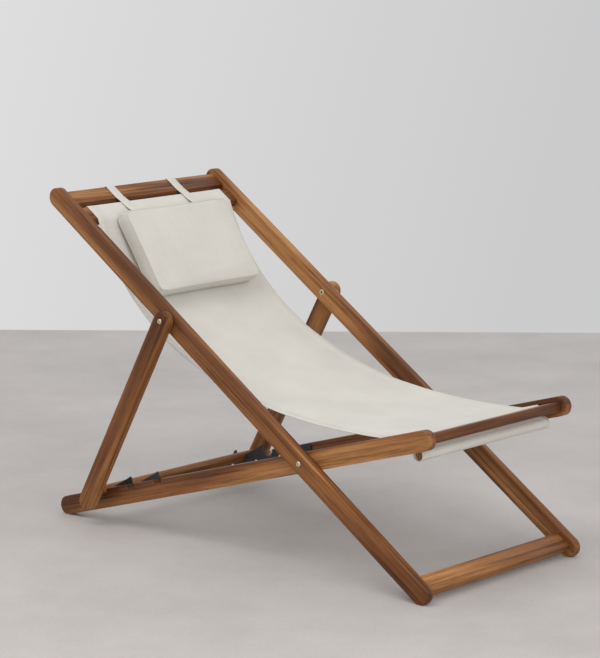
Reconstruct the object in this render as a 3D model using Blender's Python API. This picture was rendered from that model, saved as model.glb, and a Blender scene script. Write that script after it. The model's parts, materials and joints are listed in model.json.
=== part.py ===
"""Folding deck chair: two crossed timber frames, a notched prop, a hung canvas sling and a head cushion.

Metres, +Z up. The sitter faces -Y. The chair stands open on z = 0, with its box centred on the origin.
Frame coordinates: "along" runs up a frame's rails from the floor end, "above" is square to the rails.
"""
import math

import bmesh
import bpy
from mathutils import Vector

# ---- Driving dimensions ----
CHAIR_WIDTH = 0.600          # over the outer faces of the two prop legs
RAIL_THICK = 0.022           # timber, across the chair
RAIL_DEPTH = 0.045           # timber, in the side view
LAYER_GAP = 0.002            # washer space between neighbouring layers
FOOT_FLAT = 0.0011           # how much of a round foot is planed off where it meets the floor
BACK_ANGLE = 33.82           # degrees, back rails to the floor
SEAT_ANGLE = 16.66           # degrees, seat rails to the floor
BACK_LENGTH = 1.3448         # between the centres of a back rail's round ends
SEAT_LENGTH = 1.1463         # between the centres of a seat rail's round ends
SCISSOR_ALONG = 0.4146       # scissor bolt, along the back rail
PROP_ALONG = 0.9012          # prop bolt, along the back rail
PROP_TOE = 0.022             # prop leg's round end centre, past the dowel

BAR_THICK = 0.022            # cross boards, square to their frame
BAR_DEPTH = 0.045            # cross boards, along their frame
BAR_GAP = 0.015              # slot between the two boards at each end of the sling
TOP_BAR_INSET = 0.0173       # top board's centre, below the rail's end centre
FRONT_BAR_INSET = 0.0118
STRETCHER_ALONG = 0.01775
TENON_LENGTH = 0.014
TENON_THICK = 0.012
TENON_DEPTH = 0.030

NOTCH_FIRST = 0.137          # along the seat rail
NOTCH_PITCH = 0.094
NOTCH_COUNT = 3
NOTCH_RADIUS = 0.0133
NOTCH_FLOOR = 0.0077         # above the rail's centre line
DOWEL_RADIUS = 0.012
DOWEL_END_RADIUS = 0.009     # the turned-down ends inside the prop legs
DOWEL_END_DEPTH = 0.014      # how far each end sits in its prop leg

PLATE_THICK = 0.0025
PLATE_START = 0.081
PLATE_END = 0.377
PLATE_BOTTOM = -0.010
PLATE_TOP = 0.022
PLATE_CORNER = 0.006
TOOTH_HEIGHT = 0.0395
TOOTH_ROUND = 0.003
SCREW_FIRST = 0.1015
SCREW_PITCH = 0.0832
SCREW_COUNT = 4
SCREW_ABOVE = 0.003
SCREW_HEAD_RADIUS = 0.0038
SCREW_HEAD_HEIGHT = 0.0014
SCREW_SHANK_RADIUS = 0.0018
SCREW_DEPTH = 0.012

BOLT_RADIUS = 0.0035
BOLT_HEAD_RADIUS = 0.0063
BOLT_HEAD_HEIGHT = 0.0030
SOCKET_RADIUS = 0.0026
SOCKET_DEPTH = 0.0018
CAP_NUT_RADIUS = 0.0062
CAP_NUT_HEIGHT = 0.0050
FLANGE_RADIUS = 0.0070       # prop bolt's sunk nut
FLANGE_THICK = 0.0022
WASHER_RADIUS = 0.0090

CANVAS_THICK = 0.0016
SLING_SIDE_GAP = 0.005       # between the sling's edge and a seat rail
ROD_SIDE = 0.016             # square rod in each end pocket
ROD_INSET = 0.005            # how far a rod's end lies inside the sling's edge
ROD_BELOW = 0.029            # rod centre, under the frame's centre line
SLING_DIP = 0.0245           # how far the seat end of the sling dips
SLING_BACK_PULL = 0.849      # share of the sling's drop taken up steeply, at its top end
SLING_SPLIT_GAP = 0.020      # between the two halves of the sling solid

PILLOW_WIDTH = 0.341
PILLOW_HEIGHT = 0.215
PILLOW_THICK = 0.038
PILLOW_ROUND = 0.010
PILLOW_ALONG = 0.110         # pillow's centre, down the sling from its top end
PILLOW_SPACE = 0.002
STRAP_WIDTH = 0.026
STRAP_THICK = 0.0016
STRAP_SPACING = 0.206        # between the two straps' centres
STRAP_HANG = 0.036           # how far a strap hangs behind the top board

FIT = 0.0003                 # between pieces that touch
ARC_STEPS = 12               # facets of a half circle

# ---- Worked out from the driving dimensions ----
RAIL_R = RAIL_DEPTH / 2
PROP_OUT = CHAIR_WIDTH / 2
PROP_IN = PROP_OUT - RAIL_THICK
BACK_OUT = PROP_IN - LAYER_GAP
BACK_IN = BACK_OUT - RAIL_THICK
SEAT_OUT = BACK_IN - LAYER_GAP
SEAT_IN = SEAT_OUT - RAIL_THICK
SLING_WIDTH = 2 * (SEAT_IN - SLING_SIDE_GAP)
ROD_LENGTH = SLING_WIDTH - 2 * ROD_INSET
SIDES = (("left", 1), ("right", -1))


class Frame:
    """A slanting line in the side view: a start point, the direction along it and the one above it."""

    def __init__(self, start, along, above):
        self.start, self.along, self.above = Vector(start), Vector(along), Vector(above)

    def at(self, along, above=0.0):
        return self.start + self.along * along + self.above * above


back_tilt, seat_tilt = math.radians(BACK_ANGLE), math.radians(SEAT_ANGLE)
foot_z = RAIL_R - FOOT_FLAT
BACK = Frame((-BACK_LENGTH * math.cos(back_tilt) / 2, foot_z),
             (math.cos(back_tilt), math.sin(back_tilt)),
             (-math.sin(back_tilt), math.cos(back_tilt)))
SCISSOR = BACK.at(SCISSOR_ALONG)
PROP_PIVOT = BACK.at(PROP_ALONG)
SEAT_TO_SCISSOR = (SCISSOR.y - foot_z) / math.sin(seat_tilt)
SEAT = Frame((SCISSOR.x + SEAT_TO_SCISSOR * math.cos(seat_tilt), foot_z),
             (-math.cos(seat_tilt), math.sin(seat_tilt)),
             (math.sin(seat_tilt), math.cos(seat_tilt)))
NOTCHES = [NOTCH_FIRST + i * NOTCH_PITCH for i in range(NOTCH_COUNT)]
NOTCH_ABOVE = NOTCH_FLOOR + NOTCH_RADIUS
DOWEL = SEAT.at(NOTCHES[0], NOTCH_FLOOR + FIT + DOWEL_RADIUS)
PROP_DIR = (DOWEL - PROP_PIVOT).normalized()
PROP = Frame(PROP_PIVOT, PROP_DIR, (-PROP_DIR.y, PROP_DIR.x))
PROP_REACH = (DOWEL - PROP_PIVOT).length

TOP_BAR_ALONG = BACK_LENGTH - TOP_BAR_INSET
TOP_SLING_BAR_ALONG = TOP_BAR_ALONG - BAR_DEPTH - BAR_GAP
FRONT_BAR_ALONG = SEAT_LENGTH - FRONT_BAR_INSET
FRONT_SLING_BAR_ALONG = FRONT_BAR_ALONG - BAR_DEPTH - BAR_GAP

# ---- Materials ----
WOOD = ("oiled_hardwood", (0.30, 0.125, 0.045), 0.5, 0.0)
CANVAS = ("natural_canvas", (0.78, 0.75, 0.68), 0.9, 0.0)
BLACK_STEEL = ("black_steel", (0.02, 0.02, 0.022), 0.4, 0.0)
BRASS = ("brass_fittings", (0.62, 0.50, 0.32), 0.35, 1.0)


def clear_scene():
    for item in list(bpy.data.objects):
        bpy.data.objects.remove(item, do_unlink=True)


def material(kind):
    name, colour, roughness, metallic = kind
    found = bpy.data.materials.get(name)
    if found:
        return found
    made = bpy.data.materials.new(name)
    made.use_nodes = True
    shader = made.node_tree.nodes["Principled BSDF"]
    shader.inputs["Base Color"].default_value = (*colour, 1.0)
    shader.inputs["Roughness"].default_value = roughness
    shader.inputs["Metallic"].default_value = metallic
    made.diffuse_color = (*colour, 1.0)
    return made


# ---- Outlines in the side view ----
def arc(centre, radius, start, end, steps):
    """Points round a centre from one angle to another, in degrees, both ends included."""
    turn = [math.radians(start + (end - start) * i / steps) for i in range(steps + 1)]
    return [Vector((centre.x + radius * math.cos(a), centre.y + radius * math.sin(a))) for a in turn]


def floor_cut(points):
    """Cut an outline off flat at the floor, keeping what is above z = 0."""
    kept = []
    for here, after in zip(points, points[1:] + points[:1]):
        if here.y >= 0:
            kept.append(here)
        if (here.y < 0) != (after.y < 0):
            share = here.y / (here.y - after.y)
            kept.append(here.lerp(after, share))
    return kept


def rail_outline(frame, low, high, bites=()):
    """A rail with round ends; each bite is (along, above, radius), a notch open at the rail's top edge."""
    tilt = math.degrees(math.atan2(frame.along.y, frame.along.x))
    turn = 1 if frame.along.x * frame.above.y - frame.along.y * frame.above.x > 0 else -1
    points = arc(frame.at(low), RAIL_R, tilt - 90 * turn, tilt - 270 * turn, ARC_STEPS)
    for along, above, radius in bites:
        points += bite(frame, along, above, radius, RAIL_R)
    points += arc(frame.at(high), RAIL_R, tilt + 90 * turn, tilt - 90 * turn, ARC_STEPS)
    return points


def bite(frame, along, above, radius, edge):
    """A U-shaped notch: down one wall, round the floor and up the other wall, to the edge's height."""
    floor = [(along - radius * math.cos(math.pi * i / ARC_STEPS),
              above - radius * math.sin(math.pi * i / ARC_STEPS)) for i in range(ARC_STEPS + 1)]
    walls = [(along - radius, edge)] + floor + [(along + radius, edge)]
    return [frame.at(*place) for place in walls]


def plate_outline():
    """The toothed steel plate: each tooth ramps up towards the front and drops into its notch."""
    places = [(PLATE_START, PLATE_BOTTOM + PLATE_CORNER), (PLATE_START, PLATE_BOTTOM + 3 * PLATE_CORNER)]
    for along in NOTCHES:
        back_wall = along - NOTCH_RADIUS
        places.append((back_wall - 2.2 * TOOTH_ROUND, TOOTH_HEIGHT - 0.6 * TOOTH_ROUND))
        places.append((back_wall - TOOTH_ROUND, TOOTH_HEIGHT))
        places.append((back_wall, TOOTH_HEIGHT - TOOTH_ROUND))
        for i in range(ARC_STEPS + 1):
            turn = math.pi * i / ARC_STEPS
            places.append((along - NOTCH_RADIUS * math.cos(turn), NOTCH_ABOVE - NOTCH_RADIUS * math.sin(turn)))
        places.append((along + NOTCH_RADIUS, PLATE_TOP))
        places.append((along + NOTCH_RADIUS + 2 * FIT, PLATE_TOP + 2 * FIT))
    places.append((PLATE_END - PLATE_CORNER, PLATE_TOP))
    places.append((PLATE_END, PLATE_TOP - PLATE_CORNER))
    places.append((PLATE_END, PLATE_BOTTOM + PLATE_CORNER))
    places.append((PLATE_END - PLATE_CORNER, PLATE_BOTTOM))
    places.append((PLATE_START + PLATE_CORNER, PLATE_BOTTOM))
    return [SEAT.at(*place) for place in places]


def ribbon(path, thick):
    """The outline of a strip of even thickness, from its centre line, with mitred bends."""
    one, other = [], []
    for i, here in enumerate(path):
        before = (here - path[i - 1]).normalized() if i else None
        after = (path[i + 1] - here).normalized() if i + 1 < len(path) else None
        before, after = before or after, after or before
        middle = (before + after).normalized()
        side = Vector((-middle.y, middle.x))
        reach = thick / 2 / max(0.5, middle.dot(before))
        one.append(here + side * reach)
        other.append(here - side * reach)
    return one + other[::-1]


# ---- Solids ----
def solid(name, outline, x_from, x_to, kind):
    """A side-view outline pushed through from one x to another."""
    low, high = min(x_from, x_to), max(x_from, x_to)
    built = bmesh.new()
    face = built.faces.new([built.verts.new((low, point.x, point.y)) for point in outline])
    pushed = bmesh.ops.extrude_face_region(built, geom=[face])
    moved = [item for item in pushed["geom"] if isinstance(item, bmesh.types.BMVert)]
    bmesh.ops.translate(built, verts=moved, vec=(high - low, 0, 0))
    bmesh.ops.recalc_face_normals(built, faces=built.faces)
    return add(name, built, kind)


def add(name, built, kind):
    mesh = bpy.data.meshes.new(name)
    built.to_mesh(mesh)
    built.free()
    item = bpy.data.objects.new(name, mesh)
    bpy.context.scene.collection.objects.link(item)
    if kind:
        mesh.materials.append(material(kind))
    return item


def rod_mesh(built, centre, radius, x_from, x_to, sides):
    """One closed cylinder along X, added to a mesh being built."""
    low, high = min(x_from, x_to), max(x_from, x_to)
    rings = []
    for x in (low, high):
        ring = [built.verts.new((x, centre.x + radius * math.cos(2 * math.pi * i / sides),
                                 centre.y + radius * math.sin(2 * math.pi * i / sides))) for i in range(sides)]
        rings.append(ring)
    built.faces.new(rings[0])
    built.faces.new(rings[1][::-1])
    for i in range(sides):
        j = (i + 1) % sides
        built.faces.new((rings[0][i], rings[0][j], rings[1][j], rings[1][i]))


def turned(name, centre, steps, side, kind, sides=16):
    """A turned piece along X: steps are (x, radius) from one end to the other, for the side at +X."""
    built = bmesh.new()
    rings = []
    for x, radius in steps:
        rings.append([built.verts.new((side * x, centre.x + radius * math.cos(2 * math.pi * i / sides),
                                       centre.y + radius * math.sin(2 * math.pi * i / sides)))
                      for i in range(sides)])
    built.faces.new(rings[0])
    built.faces.new(rings[-1])
    for ring, after in zip(rings, rings[1:]):
        for i in range(sides):
            j = (i + 1) % sides
            built.faces.new((ring[i], ring[j], after[j], after[i]))
    bmesh.ops.recalc_face_normals(built, faces=built.faces)
    return add(name, built, kind)


def cutter(name, rods=(), boards=()):
    """A hidden tool: rods are (centre, radius, x_from, x_to), boards are eight-corner blocks."""
    built = bmesh.new()
    for centre, radius, x_from, x_to in rods:
        rod_mesh(built, centre, radius, x_from, x_to, 16)
    for corners in boards:
        block_mesh(built, corners)
    bmesh.ops.recalc_face_normals(built, faces=built.faces)
    return hide(add(name, built, None))


def hide(item):
    """Mark an object as a tool, which isn't part of the chair."""
    item.hide_render = True
    item.display_type = "WIRE"
    return item


def block_mesh(built, block):
    """One box lying in a frame: (frame, along, above, depth, thick, x_from, x_to)."""
    frame, along, above, depth, thick, x_from, x_to = block
    places = ((-1, -1), (1, -1), (1, 1), (-1, 1))
    rings = []
    for x in (min(x_from, x_to), max(x_from, x_to)):
        corners = [frame.at(along + u * depth / 2, above + v * thick / 2) for u, v in places]
        rings.append([built.verts.new((x, corner.x, corner.y)) for corner in corners])
    built.faces.new(rings[0])
    built.faces.new(rings[1][::-1])
    for i in range(4):
        j = (i + 1) % 4
        built.faces.new((rings[0][i], rings[0][j], rings[1][j], rings[1][i]))


def cut(item, tool):
    step = item.modifiers.new("cut", "BOOLEAN")
    step.operation = "DIFFERENCE"
    step.solver = "EXACT"
    step.object = tool


def join(item, tool):
    step = item.modifiers.new("join", "BOOLEAN")
    step.operation = "UNION"
    step.solver = "EXACT"
    step.object = tool


# ---- Pieces ----
def cross_board(name, frame, along, rail_in):
    """A board between two rails, with a tenon at each end."""
    built = bmesh.new()
    half = rail_in - FIT
    block_mesh(built, (frame, along, 0, BAR_DEPTH, BAR_THICK, -half, half))
    bmesh.ops.recalc_face_normals(built, faces=built.faces)
    board = add(name, built, WOOD)
    reach = rail_in + TENON_LENGTH
    join(board, cutter(name + "_tenons",
                       boards=[(frame, along, 0, TENON_DEPTH, TENON_THICK, -reach, reach)]))
    return board


def mortice(frame, along, rail_in, side):
    """The hole that a cross board's tenon sits in."""
    return (frame, along, 0, TENON_DEPTH + 2 * FIT, TENON_THICK + 2 * FIT,
            side * (rail_in - RAIL_THICK / 2), side * (rail_in + TENON_LENGTH + FIT))


def make_rails():
    for label, side in SIDES:
        back = solid("back_rail_" + label, rail_outline_floor(BACK, 0, BACK_LENGTH),
                     side * BACK_IN, side * BACK_OUT, WOOD)
        cut(back, cutter("back_rail_tools_" + label,
                         rods=[(SCISSOR, BOLT_RADIUS + FIT, side * (BACK_IN - FIT), side * (BACK_OUT + FIT))],
                         boards=[mortice(BACK, along, BACK_IN, side)
                                 for along in (STRETCHER_ALONG, TOP_SLING_BAR_ALONG, TOP_BAR_ALONG)]))
        recess = BACK_IN + FLANGE_THICK + FIT
        sink = turned("prop_nut_recess_" + label, PROP_PIVOT,
                      [(BACK_IN - FIT, FLANGE_RADIUS + FIT), (recess, FLANGE_RADIUS + FIT),
                       (recess, BOLT_RADIUS + FIT), (BACK_OUT + FIT, BOLT_RADIUS + FIT)], side, None)
        hide(sink)
        cut(back, sink)
        bites = [(along, NOTCH_ABOVE, NOTCH_RADIUS) for along in NOTCHES]
        seat = solid("seat_rail_" + label, rail_outline_floor(SEAT, 0, SEAT_LENGTH, bites),
                     side * SEAT_IN, side * SEAT_OUT, WOOD)
        cut(seat, cutter("seat_rail_tools_" + label,
                         rods=[(SCISSOR, BOLT_RADIUS + FIT, side * (SEAT_IN - FIT), side * (SEAT_OUT + FIT))]
                         + [(place, SCREW_SHANK_RADIUS + FIT, side * (SEAT_IN - FIT),
                             side * (SEAT_IN + SCREW_DEPTH + FIT)) for place in screw_places()],
                         boards=[mortice(SEAT, along, SEAT_IN, side)
                                 for along in (FRONT_SLING_BAR_ALONG, FRONT_BAR_ALONG)]))


def rail_outline_floor(frame, low, high, bites=()):
    return floor_cut(rail_outline(frame, low, high, bites))


def make_cross_boards():
    cross_board("foot_stretcher", BACK, STRETCHER_ALONG, BACK_IN)
    cross_board("top_sling_bar", BACK, TOP_SLING_BAR_ALONG, BACK_IN)
    cross_board("top_bar", BACK, TOP_BAR_ALONG, BACK_IN)
    cross_board("front_sling_bar", SEAT, FRONT_SLING_BAR_ALONG, SEAT_IN)
    cross_board("front_bar", SEAT, FRONT_BAR_ALONG, SEAT_IN)


def make_prop():
    for label, side in SIDES:
        leg = solid("prop_leg_" + label, rail_outline(PROP, 0, PROP_REACH + PROP_TOE),
                    side * PROP_IN, side * PROP_OUT, WOOD)
        cut(leg, cutter("prop_leg_tools_" + label,
                        rods=[(PROP_PIVOT, BOLT_RADIUS + FIT, side * (PROP_IN - FIT), side * (PROP_OUT + FIT)),
                              (DOWEL, DOWEL_END_RADIUS + FIT, side * (PROP_IN - FIT),
                               side * (PROP_IN + DOWEL_END_DEPTH + FIT))]))
    shoulder, end = PROP_IN - FIT, PROP_IN + DOWEL_END_DEPTH
    turned("prop_dowel", DOWEL,
           [(-end, DOWEL_END_RADIUS), (-shoulder, DOWEL_END_RADIUS), (-shoulder, DOWEL_RADIUS),
            (shoulder, DOWEL_RADIUS), (shoulder, DOWEL_END_RADIUS), (end, DOWEL_END_RADIUS)],
           1, WOOD, sides=24)


def screw_places():
    return [SEAT.at(SCREW_FIRST + i * SCREW_PITCH, SCREW_ABOVE) for i in range(SCREW_COUNT)]


def make_notch_plates():
    outer = SEAT_IN - FIT
    inner = outer - PLATE_THICK
    for label, side in SIDES:
        plate = solid("notch_plate_" + label, plate_outline(), side * inner, side * outer, BLACK_STEEL)
        holes = [(place, SCREW_SHANK_RADIUS + FIT, side * (inner - FIT), side * (outer + FIT))
                 for place in screw_places()]
        cut(plate, cutter("notch_plate_tools_" + label, rods=holes))
        for i, place in enumerate(screw_places()):
            turned(f"plate_screw_{label}_{i + 1}", place,
                   [(SEAT_IN + SCREW_DEPTH, SCREW_SHANK_RADIUS), (inner - FIT, SCREW_SHANK_RADIUS),
                    (inner - FIT, SCREW_HEAD_RADIUS), (inner - FIT - SCREW_HEAD_HEIGHT / 2, SCREW_HEAD_RADIUS),
                    (inner - FIT - SCREW_HEAD_HEIGHT, SCREW_HEAD_RADIUS / 2)], side, BRASS, sides=12)


def make_bolts():
    for label, side in SIDES:
        shank_end = SEAT_IN - FIT - CAP_NUT_HEIGHT / 2
        bolt("scissor_bolt_" + label, SCISSOR, shank_end, BACK_OUT, side)
        nut_face = SEAT_IN - FIT
        cap_nut("cap_nut_" + label, nut_face, shank_end - FIT, side)
        washer("scissor_washer_" + label, SCISSOR, SEAT_OUT, side)
        bolt("prop_bolt_" + label, PROP_PIVOT, BACK_IN + FLANGE_THICK + FIT, PROP_OUT, side)
        turned("prop_nut_" + label, PROP_PIVOT,
               [(BACK_IN, FLANGE_RADIUS), (BACK_IN + FLANGE_THICK, FLANGE_RADIUS)], side, BRASS)
        washer("prop_washer_" + label, PROP_PIVOT, BACK_OUT, side)


def bolt(name, centre, tip, seat_face, side):
    """A low round head with a six-sided socket, and a plain shank."""
    under = seat_face + FIT
    top = under + BOLT_HEAD_HEIGHT
    item = turned(name, centre,
                  [(tip, BOLT_RADIUS), (under, BOLT_RADIUS), (under, BOLT_HEAD_RADIUS),
                   (under + 0.6 * BOLT_HEAD_HEIGHT, BOLT_HEAD_RADIUS), (top, 0.8 * BOLT_HEAD_RADIUS)],
                  side, BRASS)
    built = bmesh.new()
    rod_mesh(built, centre, SOCKET_RADIUS, side * (top - SOCKET_DEPTH), side * (top + FIT), 6)
    bmesh.ops.recalc_face_normals(built, faces=built.faces)
    cut(item, hide(add(name + "_socket", built, None)))


def cap_nut(name, mouth, bore_end, side):
    """The scissor bolt's domed nut, with a blind bore."""
    end = mouth - CAP_NUT_HEIGHT
    item = turned(name, SCISSOR, [(end, 0.6 * CAP_NUT_RADIUS), (end + 0.3 * CAP_NUT_HEIGHT, CAP_NUT_RADIUS),
                                  (mouth, CAP_NUT_RADIUS)], side, BRASS)
    cut(item, cutter(name + "_bore", rods=[(SCISSOR, BOLT_RADIUS + FIT, side * (mouth + FIT), side * bore_end)]))


def washer(name, centre, start, side):
    item = turned(name, centre, [(start + FIT, WASHER_RADIUS), (start + LAYER_GAP - FIT, WASHER_RADIUS)],
                  side, BRASS, sides=20)
    cut(item, cutter(name + "_bore",
                     rods=[(centre, BOLT_RADIUS + FIT, side * start, side * (start + LAYER_GAP))]))


def pocket(frame, bar_along):
    """The sling's centre line at one end: over the bar, down the slot and round the rod in its pocket."""
    skin = FIT + CANVAS_THICK / 2
    low, high = bar_along - BAR_DEPTH / 2, bar_along + BAR_DEPTH / 2
    top = BAR_THICK / 2 + skin
    rod_along = high + BAR_GAP / 2
    reach = ROD_SIDE / math.sqrt(2) + math.sqrt(2) * skin
    seam = 1.6 * CANVAS_THICK
    bend = skin / math.sqrt(2)
    places = [(low, top), (high, top), (high + bend, BAR_THICK / 2 + bend), (high + skin, BAR_THICK / 2),
              (high + skin, -BAR_THICK / 2),
              (rod_along - seam, -ROD_BELOW + reach - seam),
              (rod_along - reach, -ROD_BELOW), (rod_along, -ROD_BELOW - reach),
              (rod_along + reach, -ROD_BELOW), (rod_along + seam, -ROD_BELOW + reach - seam)]
    return [frame.at(*place) for place in places]


def sag(start, end, count):
    """The sling's sagging centre line, as a cubic curve between its two bars."""
    drop, run = start.y - end.y, start.x - end.x
    one = Vector((start.x - run / 7, start.y - SLING_BACK_PULL * drop))
    two = Vector((end.x + 0.4186 * run, end.y - SLING_DIP))
    curve = []
    for i in range(count + 1):
        t = i / count
        s = 1 - t
        curve.append(start * s ** 3 + one * 3 * s * s * t + two * 3 * s * t * t + end * t ** 3)
    return curve


def make_sling():
    top = pocket(BACK, TOP_SLING_BAR_ALONG)
    front = pocket(SEAT, FRONT_SLING_BAR_ALONG)
    curve = sag(top[0], front[0], 48)
    split = SCISSOR.x
    back_part = [point for point in curve if point.x > split]
    seat_part = [point for point in curve if point.x < split - SLING_SPLIT_GAP]
    half = SLING_WIDTH / 2
    solid("sling_back", ribbon(top[:0:-1] + back_part, CANVAS_THICK), -half, half, CANVAS)
    solid("sling_seat", ribbon(seat_part + front[1:], CANVAS_THICK), -half, half, CANVAS)
    for name, frame, along in (("top_pocket_rod", BACK, TOP_SLING_BAR_ALONG),
                               ("front_pocket_rod", SEAT, FRONT_SLING_BAR_ALONG)):
        centre = frame.at(along + BAR_DEPTH / 2 + BAR_GAP / 2, -ROD_BELOW)
        reach = ROD_SIDE / math.sqrt(2)
        corners = [centre + frame.along * reach, centre + frame.above * reach,
                   centre - frame.along * reach, centre - frame.above * reach]
        solid(name, corners, -ROD_LENGTH / 2, ROD_LENGTH / 2, WOOD)
    return curve


def make_pillow(curve):
    """A head cushion that lies on the sling and hangs from the top board by two straps."""
    travelled, here = 0.0, 0
    while travelled < PILLOW_ALONG:
        travelled += (curve[here + 1] - curve[here]).length
        here += 1
    middle = curve[here]
    down = (curve[here + 2] - curve[here - 2]).normalized()
    out = Vector((down.y, -down.x))
    lift = CANVAS_THICK / 2 + PILLOW_SPACE
    bed = Frame(middle, -down, out)
    low, high = -PILLOW_HEIGHT / 2, PILLOW_HEIGHT / 2
    clear = max((point - middle).dot(out) for point in curve if abs((point - middle).dot(down)) < high + 0.01)
    bottom = clear + lift
    top = bottom + PILLOW_THICK
    r = PILLOW_ROUND
    places = [(low + r, bottom), (high - r, bottom), (high, bottom + r), (high, top - r), (high - r, top),
              (low + r, top), (low, top - r), (low, bottom + r)]
    solid("head_pillow", [bed.at(*place) for place in places], -PILLOW_WIDTH / 2, PILLOW_WIDTH / 2, CANVAS)
    return bed, high, bottom


def make_straps(bed, high, bottom):
    """Each strap runs from behind the top board, over it, to the cushion's upper edge."""
    skin = FIT + STRAP_THICK / 2
    low_edge, high_edge = TOP_BAR_ALONG - BAR_DEPTH / 2, TOP_BAR_ALONG + BAR_DEPTH / 2
    over = BAR_THICK / 2 + skin
    bend = skin / math.sqrt(2)
    route = [BACK.at(high_edge + skin, over - STRAP_HANG), BACK.at(high_edge + skin, BAR_THICK / 2),
             BACK.at(high_edge + bend, BAR_THICK / 2 + bend), BACK.at(high_edge, over), BACK.at(low_edge, over),
             BACK.at(TOP_SLING_BAR_ALONG + BAR_DEPTH / 2, over + CANVAS_THICK + 4 * FIT),
             BACK.at(TOP_SLING_BAR_ALONG, over + CANVAS_THICK + 6 * FIT),
             bed.at(high + STRAP_THICK / 2 + FIT, bottom + PILLOW_THICK / 2)]
    for label, side in SIDES:
        centre = side * STRAP_SPACING / 2
        solid("pillow_strap_" + label, ribbon(route, STRAP_THICK), centre - STRAP_WIDTH / 2,
              centre + STRAP_WIDTH / 2, CANVAS)


clear_scene()
make_rails()
make_cross_boards()
make_prop()
make_notch_plates()
make_bolts()
sling_curve = make_sling()
make_straps(*make_pillow(sling_curve))
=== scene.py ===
"""Looks of the folding deck chair: oiled hardwood, natural canvas, black plates and brass bolts."""
import json
import math

import bmesh
import bpy
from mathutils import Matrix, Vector, noise


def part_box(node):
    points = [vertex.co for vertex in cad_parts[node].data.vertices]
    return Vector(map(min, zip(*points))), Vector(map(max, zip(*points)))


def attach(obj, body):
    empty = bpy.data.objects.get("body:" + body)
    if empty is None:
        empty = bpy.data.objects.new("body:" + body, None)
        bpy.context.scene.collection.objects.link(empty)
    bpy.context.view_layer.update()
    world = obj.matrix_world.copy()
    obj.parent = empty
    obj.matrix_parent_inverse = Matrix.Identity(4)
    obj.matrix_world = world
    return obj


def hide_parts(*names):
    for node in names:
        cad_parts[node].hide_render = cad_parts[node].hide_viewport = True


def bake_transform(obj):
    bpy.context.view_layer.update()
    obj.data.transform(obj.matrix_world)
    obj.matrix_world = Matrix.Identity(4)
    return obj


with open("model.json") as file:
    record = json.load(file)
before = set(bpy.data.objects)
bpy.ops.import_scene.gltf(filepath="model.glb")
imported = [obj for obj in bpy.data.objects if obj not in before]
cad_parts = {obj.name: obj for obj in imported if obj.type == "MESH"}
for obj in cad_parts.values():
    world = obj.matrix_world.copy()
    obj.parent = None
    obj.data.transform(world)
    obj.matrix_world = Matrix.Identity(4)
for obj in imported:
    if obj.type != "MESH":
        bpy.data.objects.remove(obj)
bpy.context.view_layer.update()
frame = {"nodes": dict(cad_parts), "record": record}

# ---- Sizes of the construction, in metres, as the CAD frame has them ----
RAIL_DEPTH = 0.045
BACK_LENGTH = 1.3448
SEAT_LENGTH = 1.1463
PROP_TOE = 0.022
BAR_THICK = 0.022
BAR_DEPTH = 0.045
BAR_GAP = 0.015
TOP_BAR_ALONG = BACK_LENGTH - 0.0173
FRONT_BAR_ALONG = SEAT_LENGTH - 0.0118
STRETCHER_ALONG = 0.01775
NOTCHES = (0.137, 0.231, 0.325)
NOTCH_RADIUS = 0.0133
NOTCH_ABOVE = 0.021
DOWEL_RADIUS = 0.012
DOWEL_END_RADIUS = 0.009
ROD_SIDE = 0.016
ROD_LENGTH = 0.440
ROD_BELOW = 0.029
SLING_WIDTH = 0.450
CANVAS_THICK = 0.0014
SLING_DIP = 0.0245
SLING_BACK_PULL = 0.849
SLING_BACK_LEAN = 7             # the curve's first handle stands this part of the run forward
SLING_FRONT_REACH = 0.4186      # its second handle, as a share of the run
SAG_STEPS = 90
HEM_WIDTH = 0.018
HEM_RAISE = 0.0004
STITCH_PITCH = 0.0042
PILLOW_WIDTH = 0.341
PILLOW_HEIGHT = 0.215
PILLOW_THICK = 0.038
PILLOW_ALONG = 0.110
PILLOW_SPACE = 0.002
PILLOW_SIDE_SHARE = 0.92        # the side strip's height, as a share of the thickness
PILLOW_CROWN_SHARE = 0.20       # how far the stuffed front rises above it
PILLOW_EDGE_PULL = 0.003
PILLOW_SIDE_BULGE = 0.0025
STRAP_WIDTH = 0.026
STRAP_THICK = 0.0016
STRAP_SPACING = 0.206
STRAP_HANG = 0.036
FIT = 0.0003
EDGE_ROUND = 0.003
RAIL_R = RAIL_DEPTH / 2
SIDES = (("left", 1), ("right", -1))


class Line:
    """A slanting frame in the side view: a start point, the direction along it and the one above it."""

    def __init__(self, start, end, above_turn=1):
        self.start = Vector(start)
        self.along = (Vector(end) - self.start).normalized()
        self.above = Vector((-self.along.y, self.along.x)) * above_turn

    def at(self, along, above=0.0):
        return self.start + self.along * along + self.above * above


def node_box(name):
    return [Vector(corner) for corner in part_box(name)]


def joint_place(name):
    place = [joint["pos_m"] for joint in frame["record"]["behaviour"]["joints"] if joint["name"] == name][0]
    return Vector(place[1:])


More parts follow.
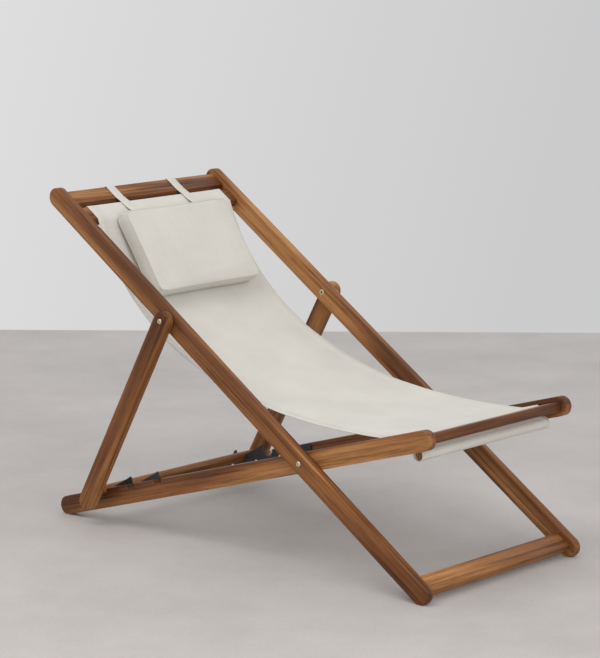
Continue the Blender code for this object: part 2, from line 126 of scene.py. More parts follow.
SCISSOR, PROP_PIVOT = joint_place("seat_fold"), joint_place("prop_swing")
back_low, back_high = node_box("back_rail_left")
seat_low, seat_high = node_box("seat_rail_left")
foot_height = back_high.z - RAIL_R - BACK_LENGTH * (PROP_PIVOT - SCISSOR).normalized().y
BACK = Line((back_low.y + RAIL_R, foot_height), (back_high.y - RAIL_R, back_high.z - RAIL_R))
SEAT = Line((seat_high.y - RAIL_R, foot_height), (seat_low.y + RAIL_R, seat_high.z - RAIL_R), -1)
dowel_low, dowel_high = node_box("prop_dowel")
DOWEL = Vector(((dowel_low.y + dowel_high.y) / 2, (dowel_low.z + dowel_high.z) / 2))
PROP = Line(PROP_PIVOT, DOWEL)
PROP_REACH = (DOWEL - PROP_PIVOT).length
TOP_SLING_BAR_ALONG = TOP_BAR_ALONG - BAR_DEPTH - BAR_GAP
FRONT_SLING_BAR_ALONG = FRONT_BAR_ALONG - BAR_DEPTH - BAR_GAP


# ---- Materials ----
class Shader:
    """A material's node tree, with short calls for the nodes it is built from."""

    def __init__(self, name, roughness, metallic=0.0):
        self.material = bpy.data.materials.new(name)
        self.material.use_nodes = True
        self.tree = self.material.node_tree
        self.surface = self.tree.nodes["Principled BSDF"]
        self.surface.inputs["Roughness"].default_value = roughness
        self.surface.inputs["Metallic"].default_value = metallic

    def node(self, kind, **values):
        made = self.tree.nodes.new(kind)
        for key, value in values.items():
            if hasattr(made, key):
                setattr(made, key, value)
            else:
                made.inputs[key.replace("_", " ").title()].default_value = value
        return made

    def link(self, output, target):
        self.tree.links.new(output, target)

    def stretched(self, source, scale):
        """The source coordinates, multiplied along each axis."""
        made = self.node("ShaderNodeVectorMath", operation="MULTIPLY")
        self.link(source, made.inputs[0])
        made.inputs[1].default_value = scale
        return made.outputs[0]

    def noise(self, vector, scale, detail=3.0, roughness=0.5, distortion=0.0):
        made = self.node("ShaderNodeTexNoise", scale=scale, detail=detail, roughness=roughness,
                         distortion=distortion)
        self.link(vector, made.inputs["Vector"])
        return made.outputs["Fac"]

    def ramp(self, source, stops):
        made = self.node("ShaderNodeValToRGB")
        elements = made.color_ramp.elements
        while len(elements) < len(stops):
            elements.new(0.5)
        for element, (place, colour) in zip(elements, stops):
            element.position = place
            element.color = (*colour, 1.0) if len(colour) == 3 else colour
        self.link(source, made.inputs["Fac"])
        return made.outputs["Color"]

    def mix(self, kind, share, one, other):
        made = self.node("ShaderNodeMix", data_type="RGBA", blend_type=kind)
        for value, target in ((share, made.inputs["Factor"]), (one, made.inputs["A"]),
                              (other, made.inputs["B"])):
            if isinstance(value, bpy.types.NodeSocket):
                self.link(value, target)
            else:
                target.default_value = value
        return made.outputs["Result"]

    def maths(self, operation, one, other):
        made = self.node("ShaderNodeMath", operation=operation)
        for value, target in ((one, made.inputs[0]), (other, made.inputs[1])):
            if isinstance(value, bpy.types.NodeSocket):
                self.link(value, target)
            else:
                target.default_value = value
        return made.outputs[0]

    def spread(self, source, low, high):
        made = self.node("ShaderNodeMapRange")
        self.link(source, made.inputs["Value"])
        made.inputs["To Min"].default_value = low
        made.inputs["To Max"].default_value = high
        return made.outputs[0]

    def bump(self, height, distance, strength=1.0):
        made = self.node("ShaderNodeBump", strength=strength, distance=distance)
        self.link(height, made.inputs["Height"])
        self.link(made.outputs["Normal"], self.surface.inputs["Normal"])


def timber_material():
    """Oiled hardwood: broad tan and brown figure, long dark streaks and fine open pores along the grain."""
    shader = Shader("oiled_hardwood", 0.42)
    grain = shader.node("ShaderNodeAttribute", attribute_name="grain").outputs["Vector"]
    broad = shader.noise(shader.stretched(grain, (1.3, 16, 16)), 1.0, detail=2.0, distortion=0.6)
    colour = shader.ramp(broad, [(0.30, (0.088, 0.030, 0.0095)), (0.43, (0.165, 0.061, 0.0200)),
                                 (0.55, (0.265, 0.107, 0.0350)), (0.70, (0.455, 0.222, 0.0800))])
    streaks = shader.noise(shader.stretched(grain, (3.0, 120, 120)), 1.0, detail=5.0, roughness=0.62,
                           distortion=0.4)
    dark = shader.ramp(streaks, [(0.34, (0.34, 0.28, 0.24)), (0.47, (0.84, 0.80, 0.77)),
                                 (0.60, (1.12, 1.10, 1.06))])
    colour = shader.mix("MULTIPLY", 0.9, colour, dark)
    pores = shader.noise(shader.stretched(grain, (22, 900, 900)), 1.0, detail=2.0)
    pits = shader.ramp(pores, [(0.34, (0.55, 0.50, 0.46)), (0.46, (1, 1, 1))])
    colour = shader.mix("MULTIPLY", 0.7, colour, pits)
    shader.link(colour, shader.surface.inputs["Base Color"])
    shader.link(shader.spread(streaks, 0.52, 0.34), shader.surface.inputs["Roughness"])
    shader.bump(shader.maths("ADD", pores, streaks), 0.00022, 0.55)
    shader.surface.inputs["Specular IOR Level"].default_value = 0.22
    return shader.material


def canvas_material(name, tint=1.0):
    """Plain-weave cotton canvas: threads both ways, slubs and a faint mottled shade."""
    shader = Shader(name, 0.92)
    cloth = shader.node("ShaderNodeAttribute", attribute_name="cloth").outputs["Vector"]
    threads = []
    for direction in ("X", "Y"):
        wave = shader.node("ShaderNodeTexWave", wave_type="BANDS", bands_direction=direction, scale=330.0,
                           distortion=1.2, detail=1.0)
        wave.inputs["Detail Scale"].default_value = 0.6
        shader.link(cloth, wave.inputs["Vector"])
        threads.append(wave.outputs["Fac"])
    weave = shader.maths("MULTIPLY", *threads)
    mottle = shader.noise(cloth, 9.0, detail=4.0)
    slub = shader.noise(shader.stretched(cloth, (700, 14, 1)), 1.0, detail=2.0)
    cross = shader.noise(shader.stretched(cloth, (14, 700, 1)), 1.0, detail=2.0)
    base = [0.665 * tint, 0.645 * tint, 0.590 * tint]
    shade = [0.620 * tint, 0.600 * tint, 0.545 * tint]
    colour = shader.ramp(mottle, [(0.35, shade), (0.65, base)])
    lines = shader.ramp(shader.maths("MULTIPLY", slub, cross),
                        [(0.13, (0.90, 0.89, 0.87)), (0.30, (1, 1, 1))])
    colour = shader.mix("MULTIPLY", 0.45, colour, lines)
    gaps = shader.ramp(weave, [(0.0, (0.86, 0.85, 0.83)), (0.5, (1, 1, 1))])
    colour = shader.mix("MULTIPLY", 0.5, colour, gaps)
    shader.link(colour, shader.surface.inputs["Base Color"])
    shader.surface.inputs["Sheen Weight"].default_value = 0.15
    shader.surface.inputs["Sheen Roughness"].default_value = 0.5
    shader.bump(shader.maths("ADD", weave, shader.maths("MULTIPLY", slub, 0.6)), 0.00025, 0.5)
    return shader.material


def metal_material(name, colour, worn, roughness, metallic):
    """A finish with fine scratches and lighter, rougher worn patches."""
    shader = Shader(name, roughness, metallic)
    place = shader.node("ShaderNodeTexCoord").outputs["Object"]
    wear = shader.noise(place, 180.0, detail=6.0, roughness=0.65)
    scratches = shader.noise(shader.stretched(place, (2500, 160, 160)), 1.0, detail=2.0)
    tone = shader.ramp(wear, [(0.42, colour), (0.72, worn)])
    shader.link(tone, shader.surface.inputs["Base Color"])
    shader.link(shader.spread(scratches, roughness - 0.08, roughness + 0.15),
                shader.surface.inputs["Roughness"])
    shader.bump(scratches, 0.00005, 0.4)
    return shader.material


TIMBER = timber_material()
CANVAS = canvas_material("natural_canvas")
WEBBING = canvas_material("canvas_webbing", 0.97)
THREAD = canvas_material("sewing_thread", 0.93)
BLACK_STEEL = metal_material("black_steel", (0.016, 0.016, 0.018), (0.05, 0.05, 0.052), 0.38, 0.0)
BRASS = metal_material("nickel_brass", (0.62, 0.53, 0.38), (0.74, 0.68, 0.56), 0.3, 1.0)


# ---- Building pieces ----
def piece(name, built, material, nodes=(), body=None, smooth=30.0):
    """Finish a mesh as one visible piece that stands for CAD nodes and rides on a body."""
    mesh = bpy.data.meshes.new(name)
    built.to_mesh(mesh)
    built.free()
    mesh.materials.append(material)
    item = bpy.data.objects.new(name, mesh)
    bpy.context.scene.collection.objects.link(item)
    mesh.shade_smooth()
    mesh.set_sharp_from_angle(angle=math.radians(smooth))
    if nodes:
        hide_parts(*nodes)
    if body:
        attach(item, body)
    return item


def store(item, name, values):
    layer = item.data.attributes.new(name, "FLOAT_VECTOR", "POINT")
    layer.data.foreach_set("vector", [number for value in values for number in value])


def join_rings(built, rings):
    """Skin the sides between rings of vertices, each ring to the next."""
    for ring, after in zip(rings, rings[1:]):
        for i in range(len(ring)):
            j = (i + 1) % len(ring)
            built.faces.new((ring[i], ring[j], after[j], after[i]))


def arc(along, radius, start, end, steps=20):
    """Points round (along, 0) in a frame's own coordinates, angles in degrees."""
    turns = [math.radians(start + (end - start) * i / steps) for i in range(steps + 1)]
    return [(along + radius * math.cos(a), radius * math.sin(a)) for a in turns]


def rail_outline(length, bites=()):
    """A rail with round ends, in its frame's coordinates, with notches in its top edge."""
    points = arc(0.0, RAIL_R, 270, 90)
    for along in bites:
        points.append((along - NOTCH_RADIUS, RAIL_R))
        points += [(along - NOTCH_RADIUS * math.cos(math.pi * i / 16),
                    NOTCH_ABOVE - NOTCH_RADIUS * math.sin(math.pi * i / 16)) for i in range(17)]
        points.append((along + NOTCH_RADIUS, RAIL_R))
    return points + arc(length, RAIL_R, 90, -90)


def timber(name, line, outline, x_from, x_to, nodes, body, edge=EDGE_ROUND, every_edge=False):
    """A wooden piece cut to an outline, its edges rounded over, with grain along the piece."""
    low, high = min(x_from, x_to), max(x_from, x_to)
    built = bmesh.new()
    ring = []
    for along, above in outline:
        place = line.at(along, above)
        ring.append(built.verts.new((low, place.x, place.y)))
    face = built.faces.new(ring)
    pushed = bmesh.ops.extrude_face_region(built, geom=[face])
    moved = [part for part in pushed["geom"] if isinstance(part, bmesh.types.BMVert)]
    bmesh.ops.translate(built, verts=moved, vec=(high - low, 0, 0))
    bmesh.ops.recalc_face_normals(built, faces=built.faces)
    rims = [rim for rim in built.edges if every_edge or rim.calc_face_angle(0.0) > math.radians(60)]
    bmesh.ops.bevel(built, geom=rims, offset=edge, segments=3, profile=0.5, affect="EDGES",
                    clamp_overlap=True)
    for vertex in built.verts:
        vertex.co.z = max(vertex.co.z, 0.0)
    item = piece(name, built, TIMBER, nodes, body)
    seed = sum(ord(letter) * (i + 3) for i, letter in enumerate(name)) % 97
    values = []
    for vertex in item.data.vertices:
        spot = Vector((vertex.co.y, vertex.co.z)) - line.start
        values.append((spot.dot(line.along) + seed * 0.37, vertex.co.x + seed * 0.113,
                       spot.dot(line.above) + seed * 0.071))
    store(item, "grain", values)
    return item


def turn_grain(item):
    """Run the grain across the chair, for a piece that lies along X."""
    layer = item.data.attributes["grain"]
    for value in layer.data:
        along, across, depth = value.vector
        value.vector = (across, along, depth)


def rod_outline(centre_along):
    reach = ROD_SIDE / math.sqrt(2)
    return [(centre_along + reach, -ROD_BELOW), (centre_along, reach - ROD_BELOW),
            (centre_along - reach, -ROD_BELOW), (centre_along, -reach - ROD_BELOW)]


def make_timber():
    for label, side in SIDES:
        spans = {name: sorted((node_box(f"{name}_{label}")[0].x, node_box(f"{name}_{label}")[1].x))
                 for name in ("back_rail", "seat_rail", "prop_leg")}
        timber("wood_back_rail_" + label, BACK, rail_outline(BACK_LENGTH), *spans["back_rail"],
               ["back_rail_" + label], "back_frame")
        timber("wood_seat_rail_" + label, SEAT, rail_outline(SEAT_LENGTH, NOTCHES), *spans["seat_rail"],
               ["seat_rail_" + label], "seat_frame", edge=0.0022)
        timber("wood_prop_leg_" + label, PROP, rail_outline(PROP_REACH + PROP_TOE), *spans["prop_leg"],
               ["prop_leg_" + label], "prop_frame")
    back_in = node_box("back_rail_left")[0].x - FIT
    seat_in = node_box("seat_rail_left")[0].x - FIT
    for name, line, along, reach, body in (
            ("foot_stretcher", BACK, STRETCHER_ALONG, back_in, "back_frame"),
            ("top_sling_bar", BACK, TOP_SLING_BAR_ALONG, back_in, "back_frame"),
            ("top_bar", BACK, TOP_BAR_ALONG, back_in, "back_frame"),
            ("front_sling_bar", SEAT, FRONT_SLING_BAR_ALONG, seat_in, "seat_frame"),
            ("front_bar", SEAT, FRONT_BAR_ALONG, seat_in, "seat_frame")):
        outline = [(along - BAR_DEPTH / 2, -BAR_THICK / 2), (along + BAR_DEPTH / 2, -BAR_THICK / 2),
                   (along + BAR_DEPTH / 2, BAR_THICK / 2), (along - BAR_DEPTH / 2, BAR_THICK / 2)]
        item = timber("wood_" + name, line, outline, -reach, reach, [name], body, every_edge=True)
        turn_grain(item)
    for name, line, along, body in (("top_pocket_rod", BACK, TOP_SLING_BAR_ALONG, "back_frame"),
                                    ("front_pocket_rod", SEAT, FRONT_SLING_BAR_ALONG, "seat_frame")):
        centre = along + BAR_DEPTH / 2 + BAR_GAP / 2
        item = timber("wood_" + name, line, rod_outline(centre), -ROD_LENGTH / 2, ROD_LENGTH / 2,
                      [name], body, edge=0.0012, every_edge=True)
        turn_grain(item)
    make_dowel()


def make_dowel():
    shoulder = node_box("prop_leg_left")[0].x - FIT
    end = node_box("prop_dowel")[1].x
    steps = [(-end, DOWEL_END_RADIUS - 0.001), (0.001 - end, DOWEL_END_RADIUS), (-shoulder, DOWEL_END_RADIUS),
             (-shoulder, DOWEL_RADIUS - 0.001), (0.001 - shoulder, DOWEL_RADIUS)]
    steps += [(-x, radius) for x, radius in reversed(steps)]
    built = bmesh.new()
    sides = 40
    rings = []
    for x, radius in steps:
        rings.append([built.verts.new((x, DOWEL.x + radius * math.cos(math.tau * i / sides),
                                       DOWEL.y + radius * math.sin(math.tau * i / sides)))
                      for i in range(sides)])
    built.faces.new(rings[0])
    built.faces.new(rings[-1])
    join_rings(built, rings)
    bmesh.ops.recalc_face_normals(built, faces=built.faces)
    item = piece("wood_prop_dowel", built, TIMBER, ["prop_dowel"], "prop_frame")
    store(item, "grain", [(v.co.x + 5.1, v.co.y + 2.3, v.co.z + 1.7) for v in item.data.vertices])


# ---- Sling ----
def pocket(line, bar_along):
    """The sling's centre line at one end: over the bar, down the slot and round the rod in its pocket."""
    skin = 2 * FIT + CANVAS_THICK / 2
    low, high = bar_along - BAR_DEPTH / 2, bar_along + BAR_DEPTH / 2
    top = BAR_THICK / 2 + skin
    rod_along = high + BAR_GAP / 2
    reach = ROD_SIDE / math.sqrt(2) + math.sqrt(2) * skin
    bulge = 0.98
    places = [(low, top), ((low + high) / 2, top), (high - EDGE_ROUND, top)]
    for i in range(1, 5):
        turn = math.radians(90 - 22.5 * i)
        bend = EDGE_ROUND + skin
        places.append((high - EDGE_ROUND + bend * math.cos(turn),
                       BAR_THICK / 2 - EDGE_ROUND + bend * math.sin(turn)))
    places += [(high + skin, 0.0), (high + skin, -BAR_THICK / 2)]
    for i in range(25):
        turn = math.radians(102 + 336 * i / 24)
        places.append((rod_along + bulge * reach * math.cos(turn),
                       bulge * reach * math.sin(turn) - ROD_BELOW))
    return [line.at(*place) for place in places]


def sag(start, end, count):
    """The hanging cloth's centre line, a cubic curve between the two pockets."""
    drop, run = start.y - end.y, start.x - end.x
    one = Vector((start.x - run / SLING_BACK_LEAN, start.y - SLING_BACK_PULL * drop))
    two = Vector((end.x + SLING_FRONT_REACH * run, end.y - SLING_DIP))
    curve = []
    for i in range(count + 1):
        t = i / count
        s = 1 - t
        curve.append(start * s ** 3 + one * 3 * s * s * t + two * 3 * s * t * t + end * t ** 3)
    return curve


TOP_POCKET = pocket(BACK, TOP_SLING_BAR_ALONG)
FRONT_POCKET = pocket(SEAT, FRONT_SLING_BAR_ALONG)
SAG = sag(TOP_POCKET[0], FRONT_POCKET[0], SAG_STEPS)
SLING_PATH = TOP_POCKET[:0:-1] + SAG + FRONT_POCKET[1:]
SAG_FIRST = len(TOP_POCKET) - 1


def lengths(path):
    total, found = 0.0, [0.0]
    for here, after in zip(path, path[1:]):
        total += (after - here).length
        found.append(total)
    return found


SLING_RUN = lengths(SLING_PATH)


def path_normal(path, i):
    before, after = path[max(0, i - 1)], path[min(len(path) - 1, i + 1)]
    line = (after - before).normalized()
    return Vector((line.y, -line.x))


def sling_lift(x, i):
    """How far the cloth moves off its smooth curve: a cross sag and soft ripples."""
    along = i - SAG_FIRST
    if not 0 < along < SAG_STEPS:
        return 0.0
    middle = math.sin(math.pi * along / SAG_STEPS)
    across = x / (SLING_WIDTH / 2)
    spot = SLING_PATH[i]
    ripple = noise.noise(Vector((x * 9, spot.x * 5, 2.0))) * 0.0022
    ripple += noise.noise(Vector((x * 3, spot.x * 16, 7.0))) * 0.0009
    return middle * (-0.006 * (1 - across * across) + ripple)


def make_sling():
    """One closed cloth: hemmed long edges, and a pocket at each end."""
    inner = SLING_WIDTH / 2 - HEM_WIDTH
    columns = [-inner + 2 * inner * i / 22 for i in range(23)]
    edge = [inner + 0.0006, inner + HEM_WIDTH * 0.5, SLING_WIDTH / 2 - 0.0006, SLING_WIDTH / 2]
    columns = [-x for x in reversed(edge)] + columns + edge
    built = bmesh.new()
    front, rear, values = [], [], []
    for i, spot in enumerate(SLING_PATH):
        normal = path_normal(SLING_PATH, i)
        tops, unders = [], []
        for x in columns:
            hem = HEM_RAISE if abs(x) > inner else 0.0
            half = CANVAS_THICK / 2 * (0.35 if abs(x) == SLING_WIDTH / 2 else 1.0) - 0.0002 + hem
            centre = spot + normal * sling_lift(x, i)
            for ring, reach in ((tops, half), (unders, -half)):
                place = centre + normal * reach
                ring.append(built.verts.new((x, place.x, place.y)))
                values.append((x, SLING_RUN[i], 0.0))
        front.append(tops)
        rear.append(unders)
    last = len(columns) - 1
    for i in range(len(SLING_PATH) - 1):
        for j in range(last):
            built.faces.new((front[i][j], front[i][j + 1], front[i + 1][j + 1], front[i + 1][j]))
            built.faces.new((rear[i][j], rear[i + 1][j], rear[i + 1][j + 1], rear[i][j + 1]))
        for j in (0, last):
            built.faces.new((front[i][j], front[i + 1][j], rear[i + 1][j], rear[i][j]))
    for i in (0, len(SLING_PATH) - 1):
        for j in range(last):
            built.faces.new((front[i][j], rear[i][j], rear[i][j + 1], front[i][j + 1]))
    bmesh.ops.recalc_face_normals(built, faces=built.faces)
    item = piece("canvas_sling", built, CANVAS, ["sling_back", "sling_seat"], smooth=60)
    store(item, "cloth", values)
    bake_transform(item)
    return item


def stitch(built, centre, along, across, normal, length=0.0028, wide=0.0007, high=0.00045):
    """One short thread, a little hump of six faces round."""
    rings = []
    for share, scale in ((-0.5, 0.35), (-0.25, 1.0), (0.25, 1.0), (0.5, 0.35)):
        middle = centre + along * (share * length)
        rings.append([built.verts.new(middle + across * (u * wide / 2 * scale) + normal * (v * high * scale))
                      for u, v in ((-1, -0.6), (1, -0.6), (0.6, 1.0), (-0.6, 1.0))])
    built.faces.new(rings[0][::-1])
    built.faces.new(rings[-1])
    join_rings(built, rings)


def at_run(distance):
    """The sling path's point, direction, normal and place in the list, at a distance along it."""
    i = next((k for k, run in enumerate(SLING_RUN) if run >= distance), len(SLING_RUN) - 1)
    i = max(1, i)
    share = (distance - SLING_RUN[i - 1]) / (SLING_RUN[i] - SLING_RUN[i - 1])
    spot = SLING_PATH[i - 1].lerp(SLING_PATH[i], share)
    direction = (SLING_PATH[i] - SLING_PATH[i - 1]).normalized()
    return spot, direction, Vector((direction.y, -direction.x)), i


def make_sling_stitching():
    """A row of stitches along each long hem, on both faces."""
    built = bmesh.new()
    first, end = SLING_RUN[SAG_FIRST], SLING_RUN[SAG_FIRST + SAG_STEPS]
    for k in range(int((end - first - 0.02) / STITCH_PITCH)):
        spot, direction, normal, i = at_run(first + 0.01 + k * STITCH_PITCH)
        for x in (-1, 1):
            place_x = x * (SLING_WIDTH / 2 - HEM_WIDTH * 0.86)
            for face in (1, -1):
                centre = spot + normal * (sling_lift(place_x, i) + face * (CANVAS_THICK / 2 + 0.0003))
                stitch(built, Vector((place_x, centre.x, centre.y)), Vector((0, direction.x, direction.y)),
                       Vector((1, 0, 0)), Vector((0, normal.x, normal.y)) * face)
    bmesh.ops.recalc_face_normals(built, faces=built.faces)
    item = piece("sling_stitching", built, THREAD)
    store(item, "cloth", [(v.co.x, v.co.y, v.co.z) for v in item.data.vertices])
    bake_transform(item)


# ---- Head cushion ----
class Bed:
    """The cushion's own place: its centre on the sling, up along the back, and out towards the head."""

    def __init__(self):
        runs = lengths(SAG)
        here = next(i for i, run in enumerate(runs) if run >= PILLOW_ALONG)
        down = (SAG[here + 2] - SAG[here - 2]).normalized()
        self.centre, self.up = SAG[here], -down
        self.out = Vector((down.y, -down.x))
        reach = PILLOW_HEIGHT / 2
        self.profile = [((spot - self.centre).dot(self.up), (spot - self.centre).dot(self.out))
                        for spot in SAG]
        self.lift = max(out for up, out in self.profile if abs(up) < reach + 0.01)
        self.lift += CANVAS_THICK / 2 + PILLOW_SPACE

    def at(self, x, up, out):
        place = self.centre + self.up * up + self.out * out
        return Vector((x, place.x, place.y))

    def under(self, up):
        """How far out the sling's surface lies, at a height on the cushion."""
        near = min(self.profile, key=lambda pair: abs(pair[0] - up))
        return near[1]


BED = Bed()


def pillow_point(u, v, w):
    """A point of the stuffed cushion: u, v from -1 to 1 over its face, w from 0 at its back to 1 in front."""
    half_w, half_h = PILLOW_WIDTH / 2, PILLOW_HEIGHT / 2
    x = u * (half_w - PILLOW_EDGE_PULL * (1 - v * v))
    up = v * (half_h - PILLOW_EDGE_PULL * (1 - u * u))
    plump = max(0.0, (1 - u ** 4) * (1 - v ** 4))
    out = PILLOW_THICK * PILLOW_SIDE_SHARE * w
    if w >= 1:
        out += PILLOW_THICK * PILLOW_CROWN_SHARE * plump ** 0.8
        out += 0.0012 * noise.noise(Vector((u * 2.2, v * 2.2, 4.0))) * plump
        out -= 0.0030 * math.exp(-((abs(u) - 0.9) / 0.05) ** 2) * abs(noise.noise(Vector((u, v * 7, 1.0))))
    if w <= 0:
        gap = BED.lift - BED.under(up) - 0.0022
        out -= max(0.0, gap) * min(1.0, plump * 1.6)
    bulge = math.sin(math.pi * min(max(w, 0), 1)) * PILLOW_SIDE_BULGE
    x += math.copysign(bulge, u) * (abs(u) > 0.98)
    up += math.copysign(bulge, v) * (abs(v) > 0.98)
    return BED.at(x, up, BED.lift + out)


def corner_round(u, v, power=16):
    """Draw the cushion's square corners in."""
    size = (abs(u) ** power + abs(v) ** power) ** (1 / power)
    biggest = max(abs(u), abs(v))
    scale = biggest / size if size > 0 else 1.0
    return u * scale, v * scale


def eased(s):
    """Space the cushion's rows closer towards its edges."""
    return math.copysign(1 - (1 - abs(s)) ** 1.35, s)


def rounded(u, v, w):
    """The cushion's point at u, v, w, moved in to its rounded corners."""
    drawn_u, drawn_v = corner_round(u, v)
    shift = BED.at((drawn_u - u) * PILLOW_WIDTH / 2, (drawn_v - v) * PILLOW_HEIGHT / 2, 0)
    return pillow_point(u, v, w) + shift - BED.at(0, 0, 0)


def make_pillow():
    """A boxed cushion: a crowned front, a side strip that bows out, and a back that lies on the sling."""
    built = bmesh.new()
    across, tall = 40, 26
    keys = {}
    values = []

    def vertex(i, j, level):
        on_rim = i in (0, across) or j in (0, tall)
        key = (i, j, level) if on_rim else (i, j, 1.0 if level >= 0.5 else 0.0)
        if key not in keys:
            u, v = -1 + 2 * i / across, -1 + 2 * j / tall
            keys[key] = built.verts.new(rounded(eased(u), eased(v), key[2]))
            values.append((u * PILLOW_WIDTH / 2, v * PILLOW_HEIGHT / 2 + key[2] * PILLOW_THICK, 0.3))
        return keys[key]

    for level in (1.0, 0.0):
        for i in range(across):
            for j in range(tall):
                built.faces.new([vertex(i, j, level), vertex(i + 1, j, level), vertex(i + 1, j + 1, level),
                                 vertex(i, j + 1, level)])
    levels = [k / 8 for k in range(9)]
    loop = [(i, 0) for i in range(across)] + [(across, j) for j in range(tall)]
    loop += [(i, tall) for i in range(across, 0, -1)] + [(0, j) for j in range(tall, 0, -1)]
    for low, high in zip(levels, levels[1:]):
        for here, after in zip(loop, loop[1:] + loop[:1]):
            built.faces.new([vertex(*here, low), vertex(*after, low), vertex(*after, high),
                             vertex(*here, high)])
    bmesh.ops.recalc_face_normals(built, faces=built.faces)
    item = piece("head_cushion", built, CANVAS, ["head_pillow"], "back_frame", 70)
    store(item, "cloth", values)
    for number, level in ((1, 1.0), (2, 0.0)):
        make_welt(f"cushion_seam_{number}",
                  [rounded(eased(-1 + 2 * i / across), eased(-1 + 2 * j / tall), level) for i, j in loop])


def make_welt(name, points):
    """The raised seam round the cushion's edge, as a thin closed tube."""
    built = bmesh.new()
    count, sides, radius = len(points), 6, 0.0011
    rings = []
    middle = sum(points, Vector()) / count
    for i, point in enumerate(points):
        tangent = (points[(i + 1) % count] - points[i - 1]).normalized()
        side = tangent.cross(point - middle).normalized()
        other = tangent.cross(side)
        rings.append([built.verts.new(point + (side * math.cos(math.tau * k / sides)
                                               + other * math.sin(math.tau * k / sides)) * radius)
                      for k in range(sides)])
    join_rings(built, rings + rings[:1])
    bmesh.ops.recalc_face_normals(built, faces=built.faces)
    item = piece(name, built, WEBBING, (), "back_frame", 180)
    store(item, "cloth", [(v.co.x, v.co.z, 0.1) for v in item.data.vertices])


def make_straps():
    """Two webbing straps: sewn to the cushion's top edge, over the top board and down behind it."""
    skin = 2 * FIT + STRAP_THICK / 2
    low_edge, high_edge = TOP_BAR_ALONG - BAR_DEPTH / 2, TOP_BAR_ALONG + BAR_DEPTH / 2
    over = BAR_THICK / 2 + skin
    route = [BACK.at(high_edge + skin, over - STRAP_HANG), BACK.at(high_edge + skin, 0.0)]
    for i in range(5):
        turn = math.radians(22.5 * i)
        bend = EDGE_ROUND + skin
        route.append(BACK.at(high_edge - EDGE_ROUND + bend * math.cos(turn),
                             BAR_THICK / 2 - EDGE_ROUND + bend * math.sin(turn)))
    route.append(BACK.at(low_edge + EDGE_ROUND, over))
    route.append(BACK.at(low_edge - BAR_GAP, over + CANVAS_THICK + 4 * FIT))
    route.append(BACK.at(TOP_SLING_BAR_ALONG, over + CANVAS_THICK + 8 * FIT))
    for label, side in SIDES:
        centre_x = side * STRAP_SPACING / 2
        end = BED.at(0, PILLOW_HEIGHT / 2 - 0.004, BED.lift + PILLOW_THICK * 0.5)
        start = route[-1]
        finish = Vector((end.y, end.z))
        path = list(route)
        for k in range(1, 9):
            share = k / 8
            spot = start.lerp(finish, share)
            path.append(spot - BACK.above * (0.0015 * math.sin(math.pi * share)))
        built = bmesh.new()
        runs = lengths(path)
        rows, values = [], []
        for i, spot in enumerate(path):
            normal = path_normal(path, i)
            row = []
            for x, reach in ((-1, 1), (-0.94, 1), (0.94, 1), (1, 1),
                             (1, -1), (0.94, -1), (-0.94, -1), (-1, -1)):
                half = STRAP_THICK / 2 * (0.45 if abs(x) == 1 else 1)
                place = spot + normal * (reach * half)
                row.append(built.verts.new((centre_x + x * STRAP_WIDTH / 2, place.x, place.y)))
                values.append((x * STRAP_WIDTH / 2, runs[i], 0.5 * side))
            rows.append(row)
        join_rings(built, rows)
        built.faces.new(rows[0][::-1])
        built.faces.new(rows[-1])
        bmesh.ops.recalc_face_normals(built, faces=built.faces)
        item = piece("webbing_strap_" + label, built, WEBBING, ["pillow_strap_" + label],
                     "back_frame", 40)
        store(item, "cloth", values)


def make_sunk_nuts():
    """The prop bolts' nuts: low discs with a six-sided socket, on the back rails' inner faces."""
    face = node_box("back_rail_left")[0].x
    radius = (node_box("prop_nut_left")[1].y - node_box("prop_nut_left")[0].y) / 2
    steps = ((0.0006, radius, 32), (-0.0005, radius, 32), (-0.0009, radius - 0.0005, 32),
             (-0.0009, 0.0030, 6), (0.0, 0.0030, 6))
    for label, side in SIDES:
        built = bmesh.new()
        rings = []
        for x, reach, corners in steps:
            ring = []
            for i in range(32):
                turn = math.tau * i / 32
                sector = math.tau / corners
                flat = math.cos(sector / 2) / math.cos((turn % sector) - sector / 2) if corners == 6 else 1.0
                ring.append(built.verts.new((side * (face + x), PROP_PIVOT.x + reach * flat * math.cos(turn),
                                             PROP_PIVOT.y + reach * flat * math.sin(turn))))
            rings.append(ring)
        built.faces.new(rings[0])
        built.faces.new(rings[-1])
        join_rings(built, rings)
        bmesh.ops.recalc_face_normals(built, faces=built.faces)
        piece("sunk_nut_" + label, built, BRASS, ["prop_nut_" + label], "back_frame")


def finish_fittings():
    """Better finishes on the CAD fittings, whose shapes stay."""
    for name, item in frame["nodes"].items():
        if name.startswith("notch_plate"):
            finish = BLACK_STEEL
        elif name.startswith(("plate_screw", "scissor", "cap_nut", "prop_bolt", "prop_washer")):
            finish = BRASS
        else:
            continue
        for place in item.material_slots:
            place.material = finish


# ---- Studio ----
CAMERA_TARGET = Vector((0.0, 0.0184, 0.4632))
CAMERA_AZIMUTH = math.radians(-48.1602)
CAMERA_ELEVATION = math.radians(10.6044)
CAMERA_ROLL = math.radians(0.2993)
CAMERA_DISTANCE = 6.0653
WALL_BEYOND = 2.62


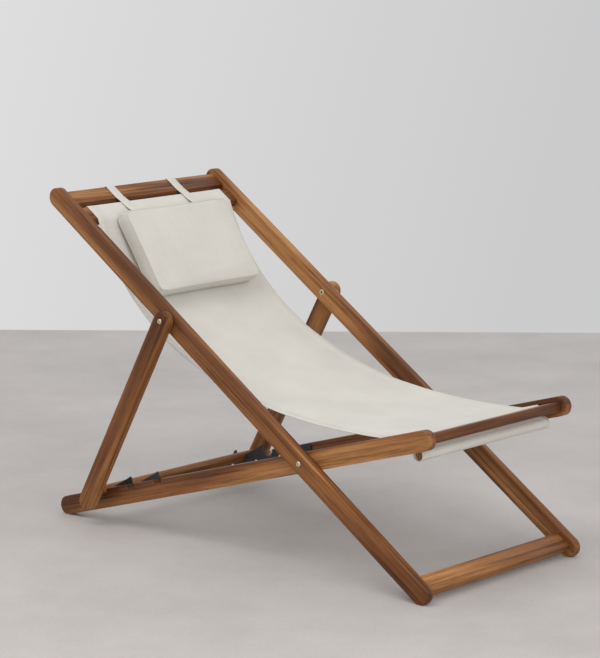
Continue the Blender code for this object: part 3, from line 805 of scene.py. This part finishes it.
def make_camera():
    towards = Vector((math.sin(CAMERA_AZIMUTH) * math.cos(CAMERA_ELEVATION),
                      -math.cos(CAMERA_AZIMUTH) * math.cos(CAMERA_ELEVATION), math.sin(CAMERA_ELEVATION)))
    right = (-towards).cross(Vector((0, 0, 1))).normalized()
    up = right.cross(-towards)
    turned_right = right * math.cos(CAMERA_ROLL) + up * math.sin(CAMERA_ROLL)
    turned_up = up * math.cos(CAMERA_ROLL) - right * math.sin(CAMERA_ROLL)
    data = bpy.data.cameras.new("camera")
    data.sensor_width = 36.0
    data.lens = 143.38
    data.shift_x, data.shift_y = -0.00657, 0.01575
    camera = bpy.data.objects.new("camera", data)
    bpy.context.scene.collection.objects.link(camera)
    spot = CAMERA_TARGET + towards * CAMERA_DISTANCE
    for row in range(3):
        camera.matrix_world[row] = (turned_right[row], turned_up[row], towards[row], spot[row])
    bpy.context.scene.camera = camera
    return Vector((towards.x, towards.y, 0)).normalized()


def make_floor(towards):
    """A pale concrete floor that ends where the wall starts, in the camera's view."""
    side = Vector((-towards.y, towards.x, 0))
    far, near, wide = -towards * WALL_BEYOND, towards * 40, side * 40
    built = bmesh.new()
    base = Vector((CAMERA_TARGET.x, CAMERA_TARGET.y, -0.0002))
    built.faces.new([built.verts.new(base + corner)
                     for corner in (far - wide, near - wide, near + wide, far + wide)])
    bmesh.ops.recalc_face_normals(built, faces=built.faces)
    mesh = bpy.data.meshes.new("floor")
    built.to_mesh(mesh)
    built.free()
    shader = Shader("floor_concrete", 0.72)
    place = shader.node("ShaderNodeTexCoord").outputs["Object"]
    cloud = shader.noise(place, 2.2, detail=9.0, roughness=0.68)
    tone = shader.ramp(cloud, [(0.32, (0.450, 0.422, 0.402)), (0.68, (0.545, 0.512, 0.490))])
    speckle = shader.ramp(shader.noise(place, 160.0, detail=3.0),
                          [(0.35, (0.93, 0.93, 0.93)), (0.6, (1, 1, 1))])
    tone = shader.mix("MULTIPLY", 0.8, tone, speckle)
    shader.link(tone, shader.surface.inputs["Base Color"])
    mesh.materials.append(shader.material)
    item = bpy.data.objects.new("floor", mesh)
    bpy.context.scene.collection.objects.link(item)


def area_light(name, place, target, size, power, colour=(1, 1, 1)):
    data = bpy.data.lights.new(name, "AREA")
    data.shape = "DISK"
    data.size = size
    data.energy = power
    data.color = colour
    item = bpy.data.objects.new(name, data)
    item.location = place
    item.rotation_euler = (Vector(target) - Vector(place)).to_track_quat("-Z", "Y").to_euler()
    bpy.context.scene.collection.objects.link(item)


def make_light():
    world = bpy.data.worlds.new("studio")
    world.use_nodes = True
    tree = world.node_tree
    fill = tree.nodes["Background"]
    fill.inputs["Color"].default_value = (0.98, 0.985, 1.0, 1.0)
    fill.inputs["Strength"].default_value = 0.81
    # The wall behind the chair is a backdrop seen only by camera rays, with painted shading: lighter towards
    # the left of the view, darker towards the right and a little darker lower down.
    wall = tree.nodes.new("ShaderNodeBackground")
    place = tree.nodes.new("ShaderNodeTexCoord")
    sideways = tree.nodes.new("ShaderNodeVectorMath")
    sideways.operation = "DOT_PRODUCT"
    sideways.inputs[1].default_value = (0.667, -0.745, -0.25)
    shade = tree.nodes.new("ShaderNodeMapRange")
    shade.inputs["From Min"].default_value = -0.10
    shade.inputs["From Max"].default_value = 0.12
    shade.inputs["To Min"].default_value = 0.725
    shade.inputs["To Max"].default_value = 0.600
    tree.links.new(place.outputs["Generated"], sideways.inputs[0])
    tree.links.new(sideways.outputs["Value"], shade.inputs["Value"])
    tree.links.new(shade.outputs[0], wall.inputs["Color"])
    wall.inputs["Strength"].default_value = 1.0
    seen = tree.nodes.new("ShaderNodeLightPath")
    choose = tree.nodes.new("ShaderNodeMixShader")
    tree.links.new(seen.outputs["Is Camera Ray"], choose.inputs["Fac"])
    tree.links.new(fill.outputs[0], choose.inputs[1])
    tree.links.new(wall.outputs[0], choose.inputs[2])
    tree.links.new(choose.outputs[0], tree.nodes["World Output"].inputs["Surface"])
    bpy.context.scene.world = world
    area_light("key", (-2.8, 0.4, 4.2), (0, 0, 0.3), 3.4, 64, (1.0, 0.985, 0.96))
    area_light("front", (-1.4, -4.2, 2.2), (0, 0, 0.3), 3.4, 68)
    bpy.context.scene.view_settings.view_transform = "Standard"


make_timber()
sling = make_sling()
make_sling_stitching()
make_pillow()
make_straps()
make_sunk_nuts()
finish_fittings()
make_floor(make_camera())
make_light()
